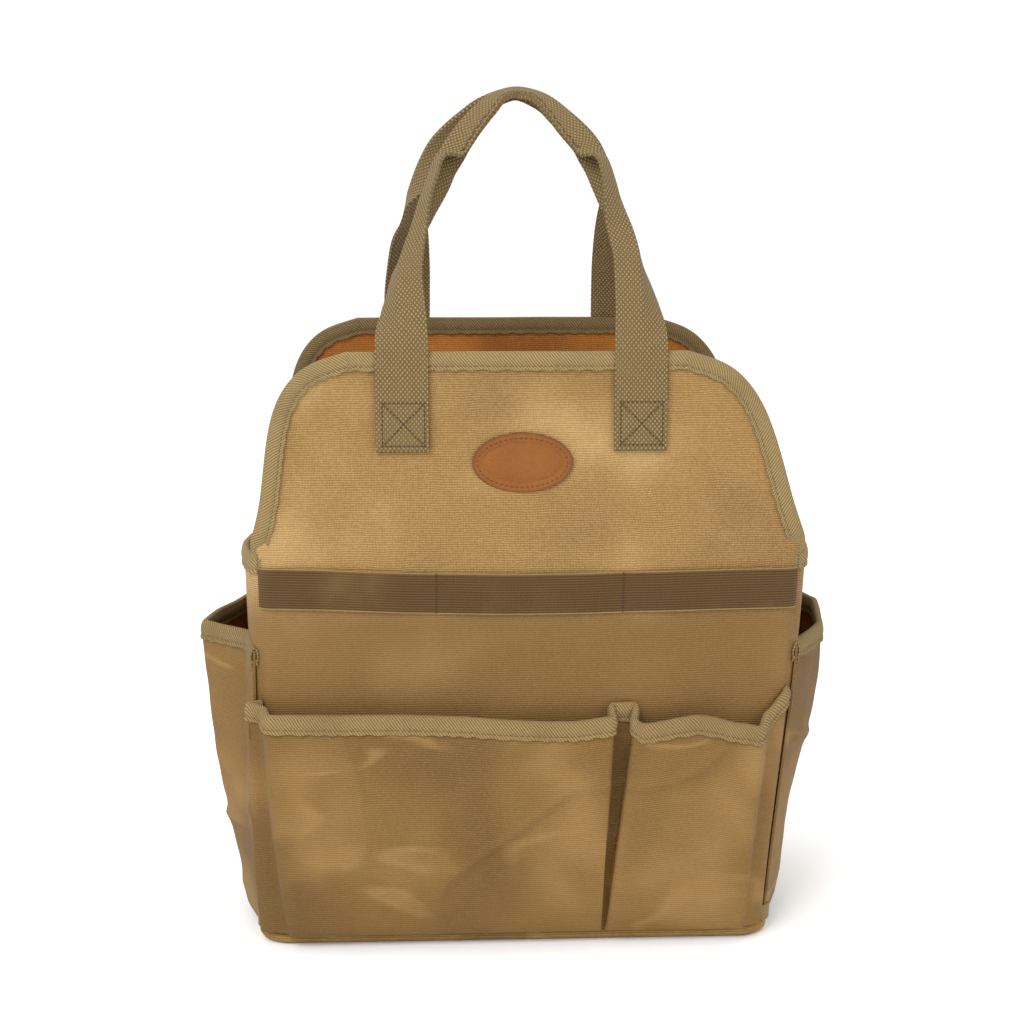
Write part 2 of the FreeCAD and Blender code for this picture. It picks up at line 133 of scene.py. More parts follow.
class Finish:
    """One material and its nodes."""

    def __init__(self, name):
        self.material = bpy.data.materials.new(name)
        self.material.use_nodes = True
        self.material.node_tree.nodes.clear()

    def node(self, kind, settings, *ordered, **named):
        """Adds a node; settings come first, then its sockets by order or by name."""
        made = self.material.node_tree.nodes.new(kind)
        for key, value in settings.items():
            setattr(made, key, value)
        sockets = {i: value for i, value in enumerate(ordered) if value is not None}
        sockets.update({key.replace("_", " "): value for key, value in named.items()})
        for key, value in sockets.items():
            if isinstance(value, Value):
                self.material.node_tree.links.new(value.socket, made.inputs[key])
            else:
                made.inputs[key].default_value = value
        return Value(self, made.outputs[0]) if made.outputs else None

    def mix(self, first, second, share):
        """One colour over another; five sockets for numbers stand before the colours."""
        made = self.node("ShaderNodeMix", {"data_type": "RGBA"}, share, *[None] * 5,
                         first, second)
        return Value(self, made.socket.node.outputs[2])

    def noise(self, place, scale, detail=3.0, roughness=0.5, distortion=0.0):
        return self.node("ShaderNodeTexNoise", {}, Vector=place, Scale=scale, Detail=detail,
                         Roughness=roughness, Distortion=distortion)

    def ramp(self, value, low, high):
        """0 below low, 1 above high, smooth between."""
        settings = {"interpolation_type": "SMOOTHSTEP"}
        return self.node("ShaderNodeMapRange", settings, Value=value, From_Min=low, From_Max=high)

    def wave(self, value, pitch):
        """A row of ridges, 0 in the valleys and 1 on the crests."""
        return value.math("SINE", value * (2 * math.pi / pitch)) * 0.5 + 0.5

    def place(self):
        """The place on the piece, in metres."""
        return self.node("ShaderNodeTexCoord", {}).other("Object")

    def threads(self):
        """The distances along the two thread directions of a cloth, in metres."""
        flat = self.node("ShaderNodeUVMap", {"uv_map": "thread"})
        parts = self.node("ShaderNodeSeparateXYZ", {}, flat)
        return parts, parts.other("Y")

    def finished(self, colour, roughness, height, depth, sheen=0.0, coat=0.0):
        """Closes the material with its shader and its relief, height times depth in metres."""
        bump = self.node("ShaderNodeBump", {}, Strength=1.0, Distance=depth, Height=height)
        shader = self.node("ShaderNodeBsdfPrincipled", {}, Base_Color=colour,
                           Roughness=roughness, Normal=bump, Sheen_Weight=sheen,
                           Sheen_Roughness=0.4, Coat_Weight=coat, Specular_IOR_Level=0.25)
        self.node("ShaderNodeOutputMaterial", {}, Surface=shader)
        return self.material


def dye(red, green, blue):
    """The linear colour of a cloth dyed to a shade given from 0 to 255."""
    shades = [c / 255 for c in (red, green, blue)]
    return tuple(c / 12.92 if c <= 0.04045 else ((c + 0.055) / 1.055) ** 2.4
                 for c in shades) + (1.0,)


paper = Finish("floor_paper")
grain = paper.noise(paper.place(), 40.0)
pale = paper.mix((0.97, 0.97, 0.97, 1), (0.95, 0.95, 0.95, 1), grain)
bpy.ops.object.select_all(action="DESELECT")
bpy.ops.mesh.primitive_plane_add(size=14)
floor = bpy.context.object
floor.name = "floor"
floor.data.materials.append(paper.finished(pale, 0.9, grain, 0.0002))

# Front and back panels: waxed cotton canvas with a coated inside, each cut with rounded
# shoulders. They wrap the lower corners to the seams and stand free above the side panels.
front_low, front_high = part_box("front_panel")
_, side_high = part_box("right_side_panel")
piping_low, piping_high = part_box("base_piping")
half_depth = -front_low.y
panel_top = front_high.z
wall_foot = front_low.z
side_top = side_high.z + 0.005  # the swelling sides lift their rims a little
rim_half_width = side_high.x
piping_reach = 0.0008  # how far the piping stands out past the walls
base_half_width = piping_high.x - piping_reach
base_corner, rim_corner = 0.020, 0.009  # radii of the wall's corners
canvas = 0.002


def ease(share):
    share = min(max(share, 0.0), 1.0)
    return share * share * (3 - 2 * share)


def between(low, high, share):
    return low + (high - low) * share


def lean(z):
    """How far the standing bag leans to the right at a height."""
    return -0.004 + 0.0085 * ease(z / side_top) - 0.0075 * ease((z - side_top) / 0.128)


def ripple(x, y, z):
    """Smooth noise, from about -1 to 1."""
    return noise.noise(Vector((x, y, z)))


right_swell, left_swell = 0.009, 0.011  # how far the side rims are pushed out
front_crown = 0.0035
large_rumple, small_rumple = 0.0034, 0.0010
panel_half_width = 0.165


def settled(point):
    """The give of the cloth: the sides swell, the front and back crown, and the bag leans."""
    x, y, z = point
    depth_share = min(y * y / half_depth ** 2, 1.0)
    swell = (right_swell if x > 0 else left_swell) * ease(z / side_top)
    swell *= (1 - depth_share ** 2) * (1 - 0.6 * ease((y + 0.05) / 0.07))
    side_share = ease((abs(x) - 0.11) / 0.05)
    width_share = min(x * x / panel_half_width ** 2, 1.0)
    crown = front_crown * ease(z / 0.09) * (1 - ease((z - 0.19) / 0.12)) * (1 - width_share) ** 2
    rumple = large_rumple * ripple(x * 14, y * 5 + 3, z * 13)
    rumple += small_rumple * ripple(x * 34 + 5, y * 9, z * 30)
    rumple *= (1 - width_share) * ease(z / 0.05)
    face_share = ease((abs(y) - 0.045) / 0.03)
    return Vector((x + math.copysign(swell * side_share, x) + lean(z),
                   y + math.copysign(crown + rumple, y) * face_share, z))


def half_width(z):
    return between(base_half_width, rim_half_width, (z - wall_foot) / (side_top - wall_foot))


def corner_radius(z):
    return between(base_corner, rim_corner, ease((z - wall_foot) / (side_top - wall_foot)))


def front_wall(across, z, out=0.0):
    """The front wall's line: across runs from -1 at the left corner seam to 1 at the right."""
    radius = corner_radius(z)
    flat = half_width(z) - radius
    run = abs(across) * (flat + radius * math.pi / 4)
    turn = max(run - flat, 0.0) / radius
    out -= 0.0012 * ease((abs(across) - 0.985) / 0.015)
    x = min(run, flat) + (radius + out) * math.sin(turn)
    y = -half_depth + radius - (radius + out) * math.cos(turn)
    return Vector((math.copysign(x, across), y, z))


def side_wall(along, z, out=0.0):
    """The right wall's line: along runs from -1 at the front corner seam to 1 at the back."""
    radius = corner_radius(z)
    flat = half_depth - radius
    run = abs(along) * (flat + radius * math.pi / 4)
    turn = max(run - flat, 0.0) / radius
    out -= 0.0012 * ease((abs(along) - 0.96) / 0.04)
    x = half_width(z) - radius + (radius + out) * math.cos(turn)
    y = min(run, flat) + (radius + out) * math.sin(turn)
    return Vector((x, math.copysign(y, along), z))


def smooth_line(points, share):
    """A point on the smooth curve through a few points, for a share from 0 to 1."""
    place = min(max(share, 0.0), 1.0) * (len(points) - 1)
    i = min(int(place), len(points) - 2)
    t = place - i
    a, b = Vector(points[max(i - 1, 0)]), Vector(points[i])
    c, d = Vector(points[i + 1]), Vector(points[min(i + 2, len(points) - 1)])
    return 0.5 * (2 * b + (c - a) * t + (2 * a - 5 * b + 4 * c - d) * t * t
                  + (3 * b - a - 3 * c + d) * t ** 3)


wall_share = 0.6  # the share of a big panel's rows below the side rims
# the free edge of a big panel: half width and height, from the seam up round the shoulder
shoulder = [(0.1627, side_top), (0.1648, 0.2565), (0.1584, 0.280), (0.1505, 0.316),
            (0.1434, 0.337), (0.1335, 0.352), (0.1210, 0.3613), (0.1010, panel_top)]


def big_panel(across, share, inset=0.0):
    """A point of the front panel, share of the way up; the upper rows follow the shoulder."""
    if share <= wall_share:
        return front_wall(across, between(wall_foot, side_top, share / wall_share), -inset)
    width, z = smooth_line(shoulder, (share - wall_share) / (1 - wall_share))
    point = front_wall(across, side_top, -inset)
    seam = front_wall(1, side_top)
    point.x *= width / seam.x
    point.y = between(point.y, inset - half_depth, ease((z - side_top) / 0.02))
    point.z = z
    return point


def raised(point, way):
    """The back panel stands a little taller than the front one."""
    if way < 0:
        point.z += 0.005 * ease((point.z - 0.29) / 0.06)
    return point


def half_turn(point, way):
    """The same place on the opposite side of the bag where way is -1."""
    return Vector((point.x * way, point.y * way, point.z))


def apply_modifier(piece, kind, **settings):
    modifier = piece.modifiers.new(kind.lower(), kind)
    for key, value in settings.items():
        setattr(modifier, key, value)
    bpy.context.view_layer.objects.active = piece
    bpy.ops.object.modifier_apply(modifier=modifier.name)


def edit_all(operator, **settings):
    """Uses an edit-mode operator on the whole of the piece in hand."""
    bpy.ops.object.mode_set(mode="EDIT")
    bpy.ops.mesh.select_all(action="SELECT")
    operator(**settings)
    bpy.ops.object.mode_set(mode="OBJECT")


def sheet_mesh(name, columns, rows, shape, thickness, finishes, lining=0, join=0.0, side=-1):
    """A sheet modelled from a grid: shape(across, up) gives each point for shares 0 to 1.

    Its thread map holds the distances along its middle lines, in metres. Points closer
    than join are merged, and lining counts the finishes on to the one of the second face.
    """
    bpy.ops.object.select_all(action="DESELECT")
    bpy.ops.mesh.primitive_grid_add(x_subdivisions=columns, y_subdivisions=rows, size=1)
    piece = bpy.context.object
    piece.name = name
    mesh = piece.data
    cells = [(round((v.co.x + 0.5) * columns), round((v.co.y + 0.5) * rows))
             for v in mesh.vertices]
    points = {}
    for vertex, (i, j) in zip(mesh.vertices, cells):
        vertex.co = shape(i / columns, j / rows)
        points[i, j] = vertex.co.copy()
    runs = [[0.0], [0.0]]
    for i in range(columns):
        step = points[i + 1, rows // 2] - points[i, rows // 2]
        runs[0].append(runs[0][-1] + step.length)
    for j in range(rows):
        step = points[columns // 2, j + 1] - points[columns // 2, j]
        runs[1].append(runs[1][-1] + step.length)
    thread = mesh.uv_layers[0]
    thread.name = "thread"
    for loop, corner in zip(mesh.loops, thread.data):
        i, j = cells[loop.vertex_index]
        corner.uv = (runs[0][i], runs[1][j])
    for finish in finishes:
        mesh.materials.append(finish)
    if join:
        edit_all(bpy.ops.mesh.remove_doubles, threshold=join)
    if thickness:
        apply_modifier(piece, "SOLIDIFY", thickness=thickness, offset=side,
                       material_offset=lining)
    edit_all(bpy.ops.mesh.normals_make_consistent, inside=False)
    bpy.ops.object.shade_smooth_by_angle(angle=math.radians(60))
    return piece


def on_bag(piece, slot, *nodes):
    """A piece sewn to the bag stands for CAD nodes, which are hidden; slot is not used."""
    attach(piece, "bag")
    if nodes:
        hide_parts(*nodes)
    return piece


warp_pitch, weft_pitch = 0.0017, 0.0014


def waxed_canvas(name, light, middle, dark, crease, mottle_scale, painted_shade_below=0.0,
                 yarn_share=0.40):
    """Plain-woven waxed cotton: horizontal ribs, pale flecks, wax clouds, broad painted
    highlights and pale crease lines, partly rub marks and partly painted highlight.

    Below a given height the colour is darkened by painted shade, for the shadow that the tool
    band and pockets cast on the wall.
    """
    finish = Finish(name)
    place = finish.place()
    across, up = finish.threads()
    thread_across = finish.wave(across + finish.noise(place, 45.0, 1.0) * 0.002, warp_pitch)
    thread_up = finish.wave(up + finish.noise(place, 50.0, 1.0) * 0.002, weft_pitch)
    weave = thread_up * 0.65 + thread_across * thread_up * 0.35
    slub = finish.noise(finish.node("ShaderNodeVectorMath", {"operation": "MULTIPLY"}, place,
                                    (90.0, 90.0, 900.0)), 1.0, 2.0)
    clouds = finish.noise(place, mottle_scale, 2.0, 0.5, 0.2)
    # broad pale patches of painted highlight, standing for the soft sheen of light on the wax;
    # the same noise also lifts the relief
    highlight_patches = finish.noise(place, mottle_scale * 1.5, 2.0, 0.5, 0.15)
    colour = finish.mix(dark, middle, finish.ramp(clouds, 0.36, 0.56))
    colour = finish.mix(colour, light, finish.ramp(highlight_patches, 0.5, 0.74) * 0.85)
    # pale crease lines, partly rub marks where the wax has cracked and partly painted highlight
    # along the creases: thin pale lines along the ridges of a noise
    slanted = finish.node("ShaderNodeMapping", {}, place, Rotation=(0, 0.8, 0),
                          Scale=(1, 1, 3))
    bent = finish.noise(slanted, 6.0, 2.0, 0.5, 0.25) - 0.5
    ridge = 1 - finish.ramp(abs(bent), 0.0, 0.035)
    rub_and_highlight = ridge * finish.ramp(finish.noise(place, 17.0, 2.0), 0.42, 0.62)
    # the pale crease lines are partly wear and partly painted highlight
    colour = finish.mix(colour, light, rub_and_highlight * crease)
    fleck = finish.ramp(finish.noise(place, 900.0, 1.0), 0.52, 0.75) * weave
    colour = finish.mix(colour, light, fleck * 0.45)
    speck = finish.noise(place, 650.0, 2.0, 0.7)
    yarn = weave * 0.68 + finish.ramp(speck, 0.3, 0.7) * 0.32
    threads = finish.mix(dark, light, finish.ramp(yarn, 0.2, 0.75))
    colour = finish.mix(colour, threads, yarn_share)
    colour = finish.mix(colour, dark, finish.ramp(slub, 0.45, 0.8) * 0.16)
    colour = finish.mix(colour, dark, (1 - weave) * 0.22)
    # painted shade: below the given height the cloth is darkened towards its dark colour,
    # standing for the shadow under the tool band and pockets
    if painted_shade_below:
        parts = finish.node("ShaderNodeSeparateXYZ", {}, place)
        low = 1 - finish.ramp(parts.other("Z"), painted_shade_below - 0.03, painted_shade_below)
        colour = finish.mix(colour, dark, low * 0.72)
    height = weave * 0.5 + slub * 0.15 + speck * 0.3 + rub_and_highlight * crease * 0.8 + highlight_patches * 0.4
    rough = 0.62 + clouds * 0.2 - rub_and_highlight * 0.08
    return finish.finished(colour, rough, height, 0.0004, sheen=0.02)


# the walls carry painted shade below the tool band
wall_canvas = waxed_canvas("wall_canvas", dye(188, 155, 102), dye(137, 104, 55),
                           dye(108, 79, 38), 0.10, 7.0, painted_shade_below=0.232)
coated_inside = waxed_canvas("coated_inside", dye(176, 110, 38), dye(148, 88, 26),
                             dye(112, 64, 16), 0.06, 8.0)

for name, way in (("front_panel", 1), ("back_panel", -1)):
    piece = sheet_mesh(
        name + "_cloth", 110, 124,
        lambda across, up: settled(half_turn(raised(big_panel(across * 2 - 1, up), way), way)),
        canvas, [wall_canvas, coated_inside], lining=1)
    on_bag(piece, "canvas", name)

# Side panels: the same canvas, shorter than the front, sewn to it down the rounded corners.
# Nothing stiffens them, so they swell outwards towards their rims.
for name, way in (("right_side_panel", 1), ("left_side_panel", -1)):
    piece = sheet_mesh(
        name + "_cloth", 60, 80,
        lambda along, up: settled(half_turn(
            side_wall(along * 2 - 1, between(wall_foot, side_top, up)), way)),
        canvas, [wall_canvas, coated_inside], lining=1)
    on_bag(piece, "canvas", name)

# Rim bindings: cotton twill tape folded over every free canvas edge and stitched through
# near its inner edge. The tape rolls over the edge in a soft lip and puckers at the stitches.
tape = 0.001
tape_gap = 0.0002  # between the cloth and the tape round it
rim_tape_width = 0.0092
stitch_pitch, stitch_length, fine_thread = 0.0034, 0.0026, 0.0007
pucker_pitch = 0.0105


def twill(name, light, middle, dark):
    """Twill tape: diagonal ridges across its width, a little uneven, with darker valleys."""
    finish = Finish(name)
    place = finish.place()
    along, across = finish.threads()
    wobble = finish.noise(place, 120.0, 2.0) * 0.0012
    ridge = finish.wave(along * 0.78 + across * 0.62 + wobble, 0.0015)
    yarn = finish.wave(across * 0.78 - along * 0.62 + wobble, 0.0009)
    relief = ridge * 0.8 + yarn * 0.2
    shade = finish.noise(place, 22.0, 3.0)
    colour = finish.mix(dark, middle, finish.ramp(relief, 0.05, 0.6))
    colour = finish.mix(colour, light, finish.ramp(relief, 0.6, 1.0) * 0.7)
    colour = finish.mix(colour, dark, finish.ramp(shade, 0.45, 0.75) * 0.35)
    fuzz = finish.noise(place, 1400.0, 1.0)
    colour = finish.mix(colour, light, finish.ramp(fuzz, 0.55, 0.8) * 0.35)
    return finish.finished(colour, 0.85, relief + fuzz * 0.3, 0.0004, sheen=0.03)


rim_twill = twill("rim_twill", dye(168, 145, 100), dye(138, 116, 76), dye(106, 88, 54))
# painted shade: a darker copy of the rim twill for the back rim binding, whose inner side is seen
# in shade
shaded_rear_twill = twill("shaded_rear_twill", dye(132, 110, 72), dye(108, 88, 54), dye(82, 66, 40))

# U-section of the tape: outward from the middle of the cloth, and down from its edge
fold_section = [(0.0003, 1.0), (0.0005, 0.93), (0.0003, 0.83), (-0.0001, 0.77), (-0.0001, 0.73),
                (0.0004, 0.64), (0.0007, 0.5), (0.0007, 0.3), (0.0004, 0.12), (-0.0001, 0.0)]


def tape_section(inner, width):
    """Points (outward, down) over the folded tape, from its outer foot to its inner one."""
    outer = inner + tape
    side = [(outer + puff, share * width) for puff, share in fold_section]
    lip = [(outer * math.cos(math.radians(a)), -outer * 0.85 * math.sin(math.radians(a)))
           for a in (25, 50, 75, 90)]
    half = side + lip
    return half + [(-out, down) for out, down in reversed(half[:-1])]


def folded_tape(name, path, cloth_thickness, width, finish):
    """Tape over an edge; path holds (edge point, outward, into the cloth) along the edge."""
    section = tape_section(cloth_thickness / 2 + tape_gap, width)
    run = [0.0]
    for before, after in zip(path, path[1:]):
        run.append(run[-1] + (after[0] - before[0]).length)

    def shape(along, across):
        i = round(along * (len(path) - 1))
        point, outward, inward = path[i]
        out, down = section[round(across * (len(section) - 1))]
        foot = max(down / width, 0.0) ** 3
        pucker = math.sin(run[i] * 2 * math.pi / pucker_pitch + 2 * math.sin(run[i] * 90))
        down += foot * 0.00035 * pucker
        out += math.copysign(foot * 0.00015 * (1 + pucker), out)
        return point + outward * out + inward * down

    return sheet_mesh(name, len(path) - 1, len(section) - 1, shape, tape, [finish])


def way_along(points, i):
    return (points[min(i + 1, len(points) - 1)] - points[max(i - 1, 0)]).normalized()


def spaced(points, pitch):
    """Places at an even pitch along a line, each with its direction and its stretch."""
    marks, left = [], 0.0
    for i in range(len(points) - 1):
        step = points[i + 1] - points[i]
        while left < step.length:
            share = left / step.length
            marks.append((points[i] + step * share, step.normalized(), i))
            left += pitch
        left -= step.length
    return marks


def thread_finish(name, light, dark):
    finish = Finish(name)
    twist = finish.noise(finish.place(), 900.0, 2.0)
    return finish.finished(finish.mix(dark, light, twist), 0.7, twist, 0.0002, sheen=0.1)


olive_thread = thread_finish("olive_thread", dye(112, 96, 62), dye(74, 62, 40))
dark_thread = thread_finish("dark_thread", dye(74, 60, 36), dye(48, 38, 22))


def stitches(name, marks, length, width, finish):
    """Rows of stitches as small capsules; marks hold (middle, along, outward) of each."""
    bpy.ops.object.select_all(action="DESELECT")
    bpy.ops.mesh.primitive_uv_sphere_add(segments=6, ring_count=4, radius=0.5)
    one = bpy.context.object
    corners = [v.co.copy() for v in one.data.vertices]
    faces = [tuple(p.vertices) for p in one.data.polygons]
    points, polygons = [], []
    for place, along, outward in marks:
        side = along.cross(outward).normalized()
        first = len(points)
        points += [place + along * (c.z * length) + side * (c.x * width)
                   + outward * (c.y * width * 0.8) for c in corners]
        polygons += [tuple(first + i for i in face) for face in faces]
    bpy.data.objects.remove(one)
    mesh = bpy.data.meshes.new(name)
    mesh.from_pydata(points, [], polygons)
    piece = bpy.data.objects.new(name, mesh)
    bpy.context.scene.collection.objects.link(piece)
    mesh.materials.append(finish)
    bpy.context.view_layer.objects.active = piece
    piece.select_set(True)
    edit_all(bpy.ops.mesh.normals_make_consistent, inside=False)
    bpy.ops.object.shade_smooth()
    return piece


def tape_stitches(name, path, cloth_thickness, width, sides=(1, -1)):
    """The row of stitches through a folded tape, on one or both of its faces."""
    marks = []
    out = cloth_thickness / 2 + tape_gap + tape - 0.0001  # sunk a little into the tape
    for side in sides:
        row = [point + outward * side * out + inward * width * 0.75
               for point, outward, inward in path]
        for place, along, i in spaced(row, stitch_pitch):
            marks.append((place, along, path[i][1] * side))
    return stitches(name, marks, stitch_length, fine_thread, olive_thread)


def big_rim(way):
    """The middle line of a big panel's free edge, from seam to seam over the top."""
    side = [big_panel(1, between(wall_share, 1, i / 90), canvas / 2) for i in range(-5, 91)]
    top_half = side[-1].x
    top = [Vector((top_half * (1 - i / 45), side[-1].y, side[-1].z)) for i in range(1, 90)]
    other = [Vector((-p.x, p.y, p.z)) for p in reversed(side)]
    return [settled(half_turn(raised(p, way), way)) for p in reversed(side + top + other)]


for name, way in (("front_rim_binding", 1), ("back_rim_binding", -1)):
    facing = Vector((0, -way, 0))
    rim = big_rim(way)
    path = [(point, facing, way_along(rim, i).cross(facing).normalized())
            for i, point in enumerate(rim)]
    piece = folded_tape(name + "_tape", path, canvas, rim_tape_width,
                        rim_twill if way > 0 else shaded_rear_twill)
    on_bag(piece, "binding_tape", name)
    on_bag(tape_stitches(name + "_stitches", path, canvas, rim_tape_width), "thread")

for name, way in (("right_rim_binding", 1), ("left_rim_binding", -1)):
    rim, below = ([settled(half_turn(side_wall(i / 60 - 1, z, -canvas / 2), way))
                   for i in range(121)] for z in (side_top, side_top - rim_tape_width))
    path = []
    for i, point in enumerate(rim):
        inward = (below[i] - point).normalized()
        path.append((point, inward.cross(way_along(rim, i)).normalized(), inward))
    piece = folded_tape(name + "_tape", path, canvas, rim_tape_width, rim_twill)
    on_bag(piece, "binding_tape", name)
    on_bag(tape_stitches(name + "_stitches", path, canvas, rim_tape_width), "thread")

# Seam tapes: the same twill, laid flat over the raw edges of the four corner seams inside
# the bag and sewn down with them.
seam_half = 0.006  # half the width of a seam tape
for name, x_way, y_way in (("front_right", 1, 1), ("front_left", -1, 1),
                           ("back_right", 1, -1), ("back_left", -1, -1)):
    low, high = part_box(name + "_seam_tape")

    def shape(across, up):
        z = between(low.z, high.z, up)
        reach = (across * 2 - 1) * seam_half
        inset = -canvas - 2 * tape_gap
        saved = corner_radius(z) * (1 - math.pi / 4)  # by going round the corner
        if reach < 0:
            point = front_wall(1 + reach / (half_width(z) - saved), z, inset)
        else:
            point = side_wall(-1 + reach / (half_depth - saved), z, inset)
        return settled(Vector((point.x * x_way, point.y * y_way, z)))

    piece = sheet_mesh(name + "_seam_tape_strip", 12, 70, shape,
                       tape * x_way * y_way, [rim_twill])
    on_bag(piece, "binding_tape", name + "_seam_tape")

# Base: an outer canvas sheet, a stiff board and a lining sheet, closed round the edge by a
# canvas-covered cord that joins the base to the walls.
base_canvas = waxed_canvas("base_canvas", dye(158, 124, 72), dye(128, 96, 48),
                           dye(102, 74, 34), 0.25, 8.0)
merge_distance = 1e-6  # joins the first and the last column of a closed shape


def base_line(share, inset):
    """A point of the base's outline, moved inwards, and its way out; 1 is once round."""
    radius = base_corner - inset
    x, y = base_half_width - inset - radius, half_depth - inset - radius
    sides = [2 * x, radius * math.pi / 2, 2 * y, radius * math.pi / 2] * 2
    run = share * sum(sides)
    corner = 0
    while run > sides[corner] and corner < 7:
        run -= sides[corner]
        corner += 1
    quarter = corner // 2
    turn = run / radius if corner % 2 else 0.0
    centre = Vector(((x, -y, 0), (x, y, 0), (-x, y, 0), (-x, -y, 0))[quarter])
    facing = quarter * math.pi / 2 - math.pi / 2
    out = Vector((math.cos(facing + turn), math.sin(facing + turn), 0))
    if corner % 2 == 0:
        centre -= Vector((-math.sin(facing), math.cos(facing), 0)) * (sides[corner] - run)
    return centre + out * radius, out


def base_sheet(name, node, finish, slot):
    """A flat sheet of the base, spun in from its outline to its middle."""
    low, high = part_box(node)
    inset = base_half_width - high.x

    def shape(across, up):
        edge, _ = base_line(across, inset)
        crown = 0.0012 * (1 - up) * ripple(edge.x * 12, edge.y * 12, 1)
        return Vector((edge.x * up + lean(0), edge.y * up, high.z + crown - 0.0002))

    piece = sheet_mesh(name, 160, 24, shape, high.z - low.z - 0.0003, [finish],
                       join=merge_distance)
    on_bag(piece, slot, node)


base_sheet("base_panel_cloth", "base_panel", base_canvas, "canvas")
base_sheet("base_lining_cloth", "base_lining", coated_inside, "lining")

board = Finish("grey_board")
fibre = board.noise(board.place(), 300.0, 4.0)
board.finished(board.mix(dye(118, 108, 94), dye(92, 84, 72), fibre), 0.9, fibre, 0.0003)
stiffener = frame["nodes"]["base_stiffener"]
stiffener.data.materials.clear()
stiffener.data.materials.append(board.material)

piping_radius = (piping_high.z - piping_low.z) / 2


def piping_shape(along, around):
    edge, out = base_line(along, piping_radius - piping_reach)
    turn = around * 2 * math.pi
    wobble = ripple(edge.x * 30, edge.y * 30, 4)
    radius = piping_radius * (0.96 + 0.04 * wobble)
    height = piping_low.z + piping_radius + 0.0006 * max(wobble, 0)
    return Vector((edge.x + lean(0) + out.x * radius * math.cos(turn),
                   edge.y + out.y * radius * math.cos(turn),
                   height + radius * math.sin(turn)))


piping_canvas = waxed_canvas("piping_canvas", dye(176, 140, 84), dye(146, 111, 56),
                             dye(112, 82, 38), 0.3, 14.0)
piece = sheet_mesh("base_piping_cord", 260, 14, piping_shape, 0, [piping_canvas],
                   join=merge_distance)
on_bag(piece, "canvas", "base_piping")

# Tool band: wide woven elastic stretched flat across the front. Two upright rows of stitches
# part it into three loops, and between them it stands a little off the canvas.
band_low, band_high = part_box("tool_band")
band_width = band_high.z - band_low.z
band_hem = 0.0012
heavy_thread = 0.0009
stitch_low, stitch_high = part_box("tool_band_stitching")
divider = (stitch_high.x - stitch_low.x) / 2 - 0.0004  # from the middle to a row of stitches


def elastic_finish():
    """Ribbed elastic: fine cords run along it, crossed by a looser yarn, with a woven edge."""
    finish = Finish("ribbed_elastic")
    place = finish.place()
    along, across = finish.threads()
    cord = finish.wave(across, 0.00155)
    cross = finish.wave(along + finish.noise(place, 300.0) * 0.0006, 0.0011)
    hem = finish.ramp(abs(across - band_width / 2), 0.0115, 0.0121)
    relief = cord * 0.6 + cross * 0.25
    colour = finish.mix(dye(62, 44, 20), dye(96, 70, 34), finish.ramp(relief, 0.1, 0.8))
    shade = finish.noise(place, 16.0, 3.0)
    colour = finish.mix(colour, dye(126, 98, 54), finish.ramp(shade, 0.5, 0.75) * 0.4)
    colour = finish.mix(colour, dye(150, 124, 76), hem * 0.85)
    return finish.finished(colour, 0.8, relief + hem * 0.8, 0.0005, sheen=0.1)


def band_shape(across, up):
    z = between(band_low.z, band_high.z, up)
    reach = (across * 2 - 1) * 0.999
    point = front_wall(reach, z, 0.0016)
    loop = min(abs(abs(point.x) - divider), half_width(z) - abs(point.x)) / 0.03
    lift = 0.0012 * ease(loop) * (0.6 + 0.4 * math.sin(up * math.pi))
    point.z += 0.0022 * ease((-point.x - 0.06) / 0.1) - 0.0016 * math.exp(-(point.x / 0.075) ** 2)
    point.y -= lift
    return settled(point)


band = sheet_mesh("tool_band_elastic", 150, 14, band_shape, 0.0012, [elastic_finish()])
on_bag(band, "elastic", "tool_band")
marks = []
for side in (-1, 1):
    for i in range(9):
        z = between(band_low.z + band_hem, band_high.z - band_hem, i / 8)
        place = band_shape((side * divider / half_width(z) + 1) / 2,
                           (z - band_low.z) / band_width)
        marks.append((place + Vector((0, -0.0002, 0)), Vector((0, 0, 1)), Vector((0, -1, 0))))
on_bag(stitches("tool_band_divider_stitches", marks, 0.0024, heavy_thread, dark_thread),
       "thread", "tool_band_stitching")

# Front pockets: one wide canvas apron with a bellows fold at each end and a deep pleat that
# parts it into a large and a small pocket. Its foot is caught in the base seam.
pocket_canvas = 0.0016
pocket_tape_width = 0.0098
pocket_foot = wall_foot + 0.0004
pocket_finish = waxed_canvas("pocket_canvas", dye(152, 119, 68), dye(118, 88, 43),
                             dye(94, 68, 31), 0.75, 8.0, yarn_share=0.24)
pocket_twill = twill("pocket_twill", dye(162, 138, 94), dye(133, 110, 69), dye(102, 81, 48))


